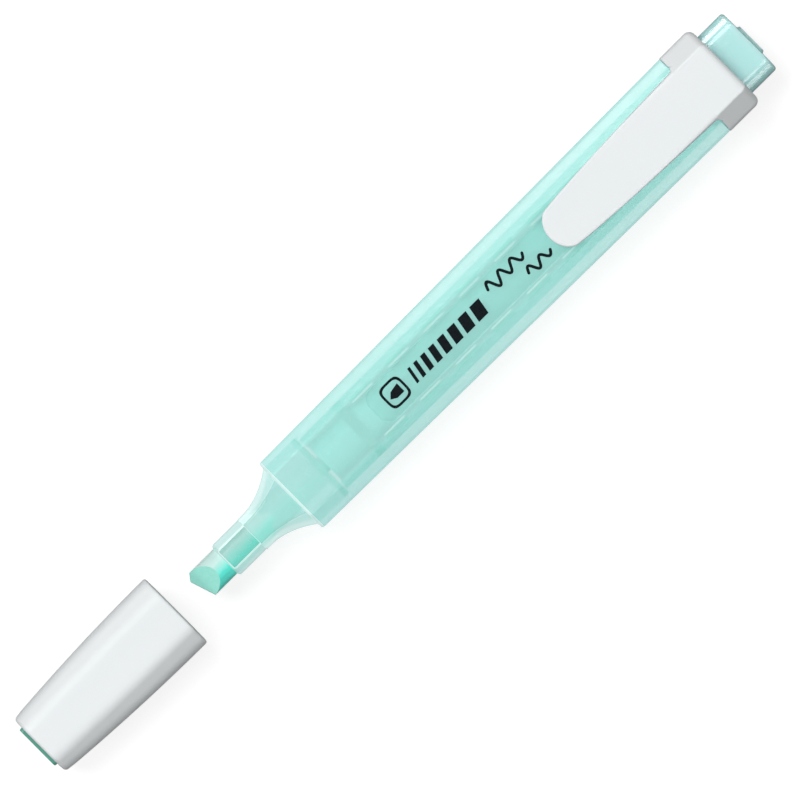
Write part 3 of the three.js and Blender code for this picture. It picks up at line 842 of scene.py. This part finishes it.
def reservoir():
    """The ink reservoir: a fluted fibre rod, and the thin film wrapped around it."""
    socket = NIB_TAIL["radius"] + SLIP

    def circle(at, radius, flute=0.0):
        spots = []
        for i in range(FLUTES * FLUTE_STEPS):
            a = 2 * math.pi * i / (FLUTES * FLUTE_STEPS)
            reach = radius - flute * (0.5 + 0.5 * math.cos(FLUTES * a))
            spots.append((at, reach * math.cos(a), reach * math.sin(a)))
        return spots

    socket_end = NIB_TAIL_AT + SEAM
    rings = [circle(socket_end, 0.1), circle(socket_end, socket), circle(RESERVOIR_AT + 0.2, socket)]
    rings += [circle(RESERVOIR_AT, socket + 0.2), circle(RESERVOIR_AT, CORE_RADIUS - 0.3)]
    along = stations(RESERVOIR_AT + 0.3, RESERVOIR_END_AT - 0.3, 8)
    rings += [circle(at, CORE_RADIUS, FLUTE_DEPTH) for at in along]
    rings += [circle(RESERVOIR_END_AT, CORE_RADIUS - 0.3), circle(RESERVOIR_END_AT, 0.1)]
    core = mesh_piece("reservoir_fibre", skin(rings), ink_fibre())
    finished(core, "pen", "ink_fibre", "reservoir_core")

    inner = RESERVOIR_RADIUS - FILM_THICKNESS
    along = stations(RESERVOIR_AT, RESERVOIR_END_AT, 6)
    rings = [circle(at, RESERVOIR_RADIUS) for at in along] + [circle(at, inner) for at in along[::-1]]
    sleeve = mesh_piece("reservoir_sleeve", skin(rings, loop=True), film())
    finished(sleeve, "pen", "film", "reservoir_film")


PLUG_OUTLINE = octagon(6.4, (3.9, 4.35, 2.0), rounds=(2.4, 3.0))
PAD_OUTLINE = octagon(2.87, (2.0, 2.3, 1.4), rounds=(0.6, 0.6))


def rear_plug():
    """The end that shows, a flange held by the collar, and a hollow spigot in the barrel."""
    flange_at = BARREL_END_AT + SEAM
    end_at = PAD_END_AT - PAD_HEIGHT
    spigot = inset(SPIGOT_BORE, SLIP)
    rings = [ring(at, inset(spigot, SPIGOT_WALL)) for at in (flange_at, PLUG_AT)]
    rings += [ring(PLUG_AT, inset(spigot, 0.25)), ring(PLUG_AT + 0.25, spigot), ring(flange_at, spigot)]
    rings += [ring(at, SEAT_OUTLINE) for at in (flange_at, flange_at + PLUG_FLANGE)]
    rings += [ring(at, PLUG_OUTLINE) for at in stations(flange_at + PLUG_FLANGE, end_at - 0.6, 2)]
    rings += rounded_end(end_at, PLUG_OUTLINE, PLUG_END_ROUND, 1)
    rings += [ring(end_at, inset(PAD_OUTLINE, -0.35)), ring(end_at + 0.12, inset(PAD_OUTLINE, -0.1))]
    rings += rounded_end(PAD_END_AT, PAD_OUTLINE, 0.18, 1)
    piece = mesh_piece("rear_plug_body", skin(rings), solid_mint())
    return finished(piece, "pen", "solid_mint", "rear_plug")


COLLAR_OUTLINE = octagon(
    COLLAR_HALF_WIDTH, (COLLAR_TOP, 5.0, 3.5), (COLLAR_BOTTOM, 5.1, 2.4), rounds=(0.5, 2.2)
)
COLLAR_SIDES = (3, 8, 16, 8, 3, 5, 10, 5)
COLLAR_FACET = (5.2, 7.4, 4.2)  # the top facets lie between these distances across, above this height
CLIP_UNDERSIDE = COLLAR_TOP - CLIP["thickness"]


def collar_section():
    """Points round the collar, one pair moved along its facets to where the clip's underside meets them."""
    points = section(COLLAR_OUTLINE, COLLAR_SIDES)
    near, far, low = COLLAR_FACET
    for side in (1, -1):
        facet = [i for i, p in enumerate(points) if near < p.x * side < far and p.y > low]
        nearest = min(facet, key=lambda i: abs(points[i].y - CLIP_UNDERSIDE))
        before, after = points[nearest - 1], points[nearest + 1]
        share = (CLIP_UNDERSIDE - before.y) / (after.y - before.y)
        points[nearest] = before.lerp(after, share)
    return points


COLLAR_POINTS = collar_section()
CLIP_COLUMNS = [i for i, p in enumerate(COLLAR_POINTS) if p.y > CLIP_UNDERSIDE - 0.01]
ROOT_REACH = COLLAR_POINTS[CLIP_COLUMNS[0]].x


def collar_height(y):
    """Height of the collar's front at a distance from its middle line."""
    top = [COLLAR_POINTS[i] for i in CLIP_COLUMNS]
    for right, left in zip(top, top[1:]):
        if left.x - 1e-9 <= y <= right.x + 1e-9:
            return lerp(right.y, left.y, (right.x - y) / (right.x - left.x))
    return CLIP_UNDERSIDE


def collar_shape():
    """The ring around the barrel's rear end, open at the front where the clip grows out of it."""
    seat = ring(COLLAR_AT, inset(SEAT_OUTLINE, -SLIP), COLLAR_SIDES)
    clip = set(CLIP_COLUMNS)
    front = []
    for depth, inward in edge_steps(COLLAR_FRONT_ROUND)[::-1]:
        line = []
        for full, rounded in zip(COLLAR_POINTS, section(inset(COLLAR_OUTLINE, inward), COLLAR_SIDES)):
            fade = smooth((CLIP_UNDERSIDE - full.y) / CLIP_FILLET)
            line.append((COLLAR_AT + depth * fade, *full.lerp(rounded, fade)))
        front.append(line)
    middle = [
        (COLLAR_AT, p.x, CLIP_UNDERSIDE) if i in clip else (COLLAR_AT, *p.lerp(Vector(seat[i][1:]), 0.4))
        for i, p in enumerate(COLLAR_POINTS)
    ]
    outside = [at_station(at, COLLAR_POINTS) for at in stations(COLLAR_AT + 0.6, COLLAR_END_AT - 1.4, 1.5)]
    rear = rounded_end(COLLAR_END_AT, COLLAR_OUTLINE, COLLAR_REAR_ROUND, 1, COLLAR_SIDES, steps=7)
    lip = section(inset(PLUG_OUTLINE, -SLIP), COLLAR_SIDES)
    step_at = COLLAR_END_AT - COLLAR_REAR
    inside = [ring(COLLAR_END_AT, inset(PLUG_OUTLINE, -SLIP - 0.15), COLLAR_SIDES)]
    inside += [at_station(COLLAR_END_AT - 0.15, lip), at_station(step_at, lip)]
    inside += [ring(step_at, inset(SEAT_OUTLINE, -SLIP), COLLAR_SIDES)]
    rings = [middle, *front, *outside, *rear, *inside, seat]
    points, faces = skin(rings, loop=True)
    count = len(COLLAR_POINTS)

    def under_clip(face):
        """The front face, and its shrunken edge, between the clip's top and its underside."""
        return max(face) < (len(front) + 1) * count and all(i % count in clip for i in face)

    return points, [face for face in faces if not under_clip(face)]


def clip_outline():
    """(station, half-width) down one side of the clip, from its tip to its root."""
    tip_end = CLIP_TIP_AT + CLIP["tip_length"]
    fillet_at = COLLAR_AT - CLIP_FILLET
    spots = []
    length, reach, root = CLIP["tip_length"], CLIP["tip_half_width"], CLIP["root_half_width"]
    for step in range(CLIP_TIP_STEPS):
        a = math.pi / 2 * step / CLIP_TIP_STEPS
        spots.append(Vector((tip_end - length * math.cos(a), reach * math.sin(a))))
    handles = [Vector(spot) for spot in ((tip_end, reach), *CLIP_BENDS, (fillet_at, root))]
    for step in range(CLIP_SIDE_STEPS):
        t = step / CLIP_SIDE_STEPS
        weights = ((1 - t) ** 3, 3 * t * (1 - t) ** 2, 3 * t * t * (1 - t), t**3)
        spots.append(sum((h * w for h, w in zip(handles, weights)), Vector((0, 0))))
    flare = ROOT_REACH - root
    for step in range(CLIP_ROOT_STEPS + 1):
        a = math.pi / 2 * step / CLIP_ROOT_STEPS
        spots.append(Vector((fillet_at + CLIP_FILLET * math.sin(a), root + flare * (1 - math.cos(a)))))
    return spots


def clip_shape():
    """The clip's tongue: flat on top until it meets the collar's facets, with every edge rounded."""
    spots = clip_outline()
    columns = [COLLAR_POINTS[i].x / ROOT_REACH for i in CLIP_COLUMNS]
    rings = []
    for i, spot in enumerate(spots):
        after, before = spots[min(i + 1, len(spots) - 1)], spots[max(i - 1, 0)]
        along = (after - before).normalized() if i else Vector((0, 1))
        inward = Vector((along.y, -along.x))
        room = collar_height(spot.y) - CLIP_UNDERSIDE
        to_collar = COLLAR_AT - spot.x
        edge = min(CLIP["edge"], 0.45 * room, 0.8 * to_collar / max(inward.x, 0.1))
        rim = []
        for depth, inside in edge_steps(edge, 5)[::-1]:
            p = spot + inward * inside
            rim.append((p.x, max(p.y, 0.0), collar_height(max(p.y, 0.0)) - depth))
        for depth, inside in edge_steps(edge * 0.7, 3):
            p = spot + inward * inside
            rim.append((p.x, max(p.y, 0.0), CLIP_UNDERSIDE + depth))
        top_at, top_reach = rim[0][:2]
        low_at, low_reach = rim[-1][:2]
        line = [(top_at, share * top_reach, collar_height(share * top_reach)) for share in columns]
        line += [(at, -y, z) for at, y, z in rim[1:-1]]
        line += [(low_at, -share * low_reach, CLIP_UNDERSIDE) for share in columns]
        line += [(at, y, z) for at, y, z in rim[-2:0:-1]]
        rings.append(line)
    points, faces = skin(rings)
    return points, faces[:-1]


def nub_shape():
    """A round bar across the clip's underside, with domed ends."""
    at = CLIP_TIP_AT + CLIP_NUB["setback"]
    radius, half = CLIP_NUB["radius"], CLIP_NUB["half_width"]
    height = BODY_HALF_DEPTH + CLIP_NUB["gap"] + radius
    dome = stations(0.25, math.pi / 2, 0.22)
    profile = [(-half + radius * 0.6 * (1 - math.cos(a)), radius * math.sin(a)) for a in dome]
    profile += [(-y, r) for y, r in reversed(profile)]
    angles = [2 * math.pi * i / NUB_SIDES for i in range(NUB_SIDES)]
    return skin([[(at + r * math.cos(a), y, height + r * math.sin(a)) for a in angles] for y, r in profile])


def clip():
    """Collar and clip: one white moulding, built as one fixed mesh; on the real pen the clip bends where it
    leaves the collar.
    """
    piece = mesh_piece("collar_and_clip", merged(collar_shape(), clip_shape(), nub_shape()), white_plastic())
    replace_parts(piece, "clip_collar", "clip_tongue")
    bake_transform(piece)
    return piece


def cap_outline(depth):
    """The cap's outside at a distance in from its mouth."""
    share = (depth / CAP_LENGTH) ** 2
    return octagon(
        CAP_MOUTH_HALF_WIDTH - CAP_TAPER_WIDTH * share,
        (
            BODY_HALF_DEPTH - CAP_TAPER_DEPTH * share,
            CAP_FLAT - CAP_TAPER_FLAT * share,
            CAP_SIDE - CAP_TAPER_SIDE * share,
        ),
        rounds=CAP_ROUNDS,
    )


KEY_OUTLINE = octagon(
    KEY_HALF_WIDTH, (KEY_HALF_DEPTH, KEY_HALF_WIDTH - 0.5, KEY_HALF_DEPTH - 0.5), rounds=(0.4, 0.4)
)


def cap_shell():
    """The cap: a gently curved taper to a closed end with a slot across it."""
    slot = inset(KEY_OUTLINE, -SLIP)
    floor_at = CAP_LENGTH - CAP_END_WALL
    rings = [ring(CAP_MOUTH_AT - floor_at, slot), ring(CAP_END_AT + 0.12, slot)]
    rings += [ring(CAP_END_AT, inset(slot, -0.12))]
    rings += rounded_end(CAP_END_AT, cap_outline(CAP_LENGTH), CAP_END_ROUND, -1, steps=7)
    rings += [ring(CAP_MOUTH_AT - depth, cap_outline(depth)) for depth in stations(CAP_LENGTH - 2, 1, 1.5)]
    rings += rounded_end(CAP_MOUTH_AT, cap_outline(0), CAP_MOUTH_ROUND, 1)
    inner = stations(0.2, floor_at - 0.5, 3)
    rings += [ring(CAP_MOUTH_AT, inset(cap_outline(0), CAP_WALL - 0.15))]
    rings += [ring(CAP_MOUTH_AT - depth, inset(cap_outline(depth), CAP_WALL)) for depth in inner]
    rings += [ring(CAP_MOUTH_AT - floor_at, inset(cap_outline(floor_at), CAP_WALL + 0.5))]
    piece = mesh_piece("cap_body", skin(rings, loop=True), white_plastic())
    return finished(piece, "cap", "white_plastic", "cap_shell")


def cap_liner():
    """The inner cap that seals on the nib holder, with the key that shows in the cap's end."""
    bore = inset(HOLDER_OUTLINE, -SLIP)
    tube = inset(bore, -LINER_WALL)
    base_at = CAP_END_AT + CAP_END_WALL + SLIP
    rings = [ring(KEY_END_AT, inset(KEY_OUTLINE, 0.2)), ring(KEY_END_AT + 0.06, inset(KEY_OUTLINE, 0.06))]
    rings += [ring(KEY_END_AT + 0.2, KEY_OUTLINE), ring(base_at, KEY_OUTLINE)]
    rings += [ring(base_at, inset(tube, 0.15)), ring(base_at + 0.15, tube)]
    rings += [ring(at, tube) for at in stations(base_at + 1, LINER_MOUTH_AT - 0.3, 3)]
    rings += [ring(LINER_MOUTH_AT, inset(tube, 0.2)), ring(LINER_MOUTH_AT, inset(bore, -0.15))]
    rings += [ring(at, bore) for at in (LINER_MOUTH_AT - 0.3, base_at + LINER_BASE)]
    piece = mesh_piece("cap_inner", skin(rings), cap_mint())
    return finished(piece, "cap", "cap_mint", "cap_liner")


# ---- print: generic marks on the panel, as thin raised ink ----

ICON = {"at": 24.1, "half": 2.2, "line": 0.42}
ICON_TIP = [(-1.35, -0.3), (-0.55, 0.55), (1.25, 0.9), (1.25, -0.9), (-0.35, -0.9)]
BARS = {"from": 27.7, "count": 8, "width": 0.55, "growth": 0.23, "gap": 0.8, "lean": 0.5}
BAR_REACH = (-1.5, 1.35)
# Each wave: start, end, distance from the middle line, height, turns and drift across.
WAVES = [(46.7, 54.9, 1.2, 1.15, 3.0, 0.4), (53.4, 58.6, -1.55, 0.95, 2.0, 0.3)]
WAVE_WIDTH = 0.5
INK_THICKNESS = 0.02
INK_KEYED = 0.005  # how far the ink reaches into the plastic
INK_FLOOR = BODY_HALF_DEPTH - PANEL["depth"]
INK_HEIGHTS = (INK_FLOOR - INK_KEYED, INK_FLOOR + INK_THICKNESS)


def slab(outline):
    """Ink over a closed outline of (at, y)."""
    return skin([[(at, y, z) for at, y in outline] for z in INK_HEIGHTS])


def band(outer, inner):
    """Ink between two closed outlines."""
    low, high = INK_HEIGHTS
    corners = ((outer, low), (outer, high), (inner, high), (inner, low))
    return skin([[(at, y, z) for at, y in line] for line, z in corners], loop=True)


def squircle(at, half, power=4.0, count=64):
    """A rounded square on the middle line."""
    spots = []
    for i in range(count):
        a = 2 * math.pi * i / count
        scale = (abs(math.cos(a)) ** power + abs(math.sin(a)) ** power) ** (-1 / power)
        spots.append((at + half * scale * math.cos(a), half * scale * math.sin(a)))
    return spots


def pen_line(route, width):
    """A line drawn with a round pen along (at, y) spots."""
    spots = [Vector(spot) for spot in route]
    left, right = [], []
    for i, spot in enumerate(spots):
        along = (spots[min(i + 1, len(spots) - 1)] - spots[max(i - 1, 0)]).normalized()
        across = Vector((-along.y, along.x)) * width / 2
        left.append(spot + across)
        right.append(spot - across)
    front = round_end(spots[-1], spots[-2], width / 2)
    rear = round_end(spots[0], spots[1], width / 2)
    return slab([tuple(p) for p in left + front + right[::-1] + rear])


def round_end(end, before, radius):
    """Spots around the rounded end of a line."""
    along = (end - before).normalized()
    across = Vector((-along.y, along.x))
    turn = stations(1.2, -1.2, 0.4)
    return [end + along * (radius * math.cos(a)) + across * (radius * math.sin(a)) for a in turn]


def bar(at, width, lean, low, high):
    """A slanted stroke."""
    return slab([(at, low), (at + width, low), (at + width + lean, high), (at + lean, high)])


def wave(start, end, y, height, turns, drift):
    """Spots along a hand-drawn wave that fades a little towards its end."""
    spots = []
    for i in range(int(16 * turns) + 1):
        share = i / (16 * turns)
        swing = height * (1 - 0.35 * share) * math.sin(2 * math.pi * turns * share)
        spots.append((lerp(start, end, share), y + drift * share + swing))
    return spots


def printed_marks():
    """An icon of a chisel tip, eight strokes from thin to thick, and two hand-drawn waves."""
    middle, half = ICON["at"], ICON["half"]
    marks = [
        band(squircle(middle, half), squircle(middle, half - ICON["line"])),
        slab([(middle + at, y) for at, y in ICON_TIP]),
    ]
    at = BARS["from"]
    for step in range(BARS["count"]):
        width = BARS["width"] + BARS["growth"] * step
        marks.append(bar(at, width, BARS["lean"], *BAR_REACH))
        at += width + BARS["gap"]
    marks += [pen_line(wave(*sizes), WAVE_WIDTH) for sizes in WAVES]
    piece = mesh_piece("printed_marks", merged(*marks), print_ink())
    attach(piece, "pen")
    return piece


for build in (barrel, bore_ribs, front_section, nib, reservoir, rear_plug, clip, cap_shell, cap_liner):
    build()
printed_marks()

# ---- floor, light and camera ----


def floor():
    """A plain pale surface that the pen lies on."""
    corners = [(x * FLOOR_HALF, y * FLOOR_HALF, 0) for x, y in ((-1, -1), (1, -1), (1, 1), (-1, 1))]
    mesh = bpy.data.meshes.new("floor")
    mesh.from_pydata(corners, [], [(0, 1, 2, 3)])
    surface = bpy.data.objects.new("floor", mesh)
    bpy.context.scene.collection.objects.link(surface)
    finish = Finish("pale_floor", (FLOOR_GREY,) * 3, 0.9)
    finish.scatter((1, 1, 1), FLOOR_GLOW)
    mesh.materials.append(finish.material)
    surface.visible_diffuse = False
    surface.visible_glossy = False


FLOOR_HALF = 2.0  # metres
FLOOR_GREY, FLOOR_GLOW = 0.32, 0.75
SKY, GROUND = 0.46, 0.05  # brightness of the dome above and below
HORIZON = (-0.1, 0.4)  # heights of the direction between which it changes
# Station and y in millimetres, distance and width of the picture in metres, turn in degrees.
VIEW = {"at": 23.8, "y": -1.43, "distance": 3.0, "width": 0.1311, "turn": -44.8}
# Suns: name, strength, where each comes from, its width in degrees, and whether it only shows as gloss.
SUNS = [
    ("key", 1.87, (-0.25, 0.7, 1.0), 38, False),
    ("front", 0.35, (-1.0, 0.15, 0.75), 10, False),
    ("left_strip", 1.7, (0.0, 1.0, 0.1), 25, True),
    ("right_strip", 0.75, (0.0, -1.0, 0.1), 25, True),
    ("rim", 0.46, (0.1, -0.75, 1.0), 20, False),
    ("back", 0.3, (1.0, 0.1, 0.3), 20, False),
]


def studio_light():
    """A pale dome that is darker below, a soft key light on the +Y side, weak fills and two strip lights."""
    world = bpy.data.worlds.new("studio")
    world.use_nodes = True
    tree = world.node_tree
    direction = add_node(tree, "TexCoord", {}).outputs["Generated"]
    up = add_node(tree, "SeparateXYZ", {"Vector": direction}).outputs["Z"]
    dome = tree.nodes["Background"].inputs
    dome["Color"].default_value = (1, 1, 1, 1)
    tree.links.new(add_range(tree, up, *HORIZON, GROUND, SKY), dome["Strength"])
    bpy.context.scene.world = world
    for name, strength, source, width, gloss_only in SUNS:
        lamp = bpy.data.lights.new(name, "SUN")
        lamp.energy = strength
        lamp.angle = math.radians(width)
        sun = bpy.data.objects.new(name, lamp)
        sun.rotation_mode = "QUATERNION"
        sun.rotation_quaternion = Vector(source).to_track_quat("Z", "Y")
        sun.visible_diffuse = not gloss_only
        bpy.context.scene.collection.objects.link(sun)


def camera():
    """Looks straight down on the pen, turned so that the pen runs corner to corner."""
    lens_data = bpy.data.cameras.new("camera")
    lens_data.sensor_width = 36
    lens_data.lens = lens_data.sensor_width * VIEW["distance"] / VIEW["width"]
    eye = bpy.data.objects.new("camera", lens_data)
    eye.location = (*place(VIEW["at"], VIEW["y"], 0)[:2], AXIS + VIEW["distance"])
    eye.rotation_euler = (0, 0, math.radians(VIEW["turn"]))
    bpy.context.scene.collection.objects.link(eye)
    bpy.context.scene.camera = eye


floor()
studio_light()
camera()
bpy.context.scene.view_settings.view_transform = "Standard"
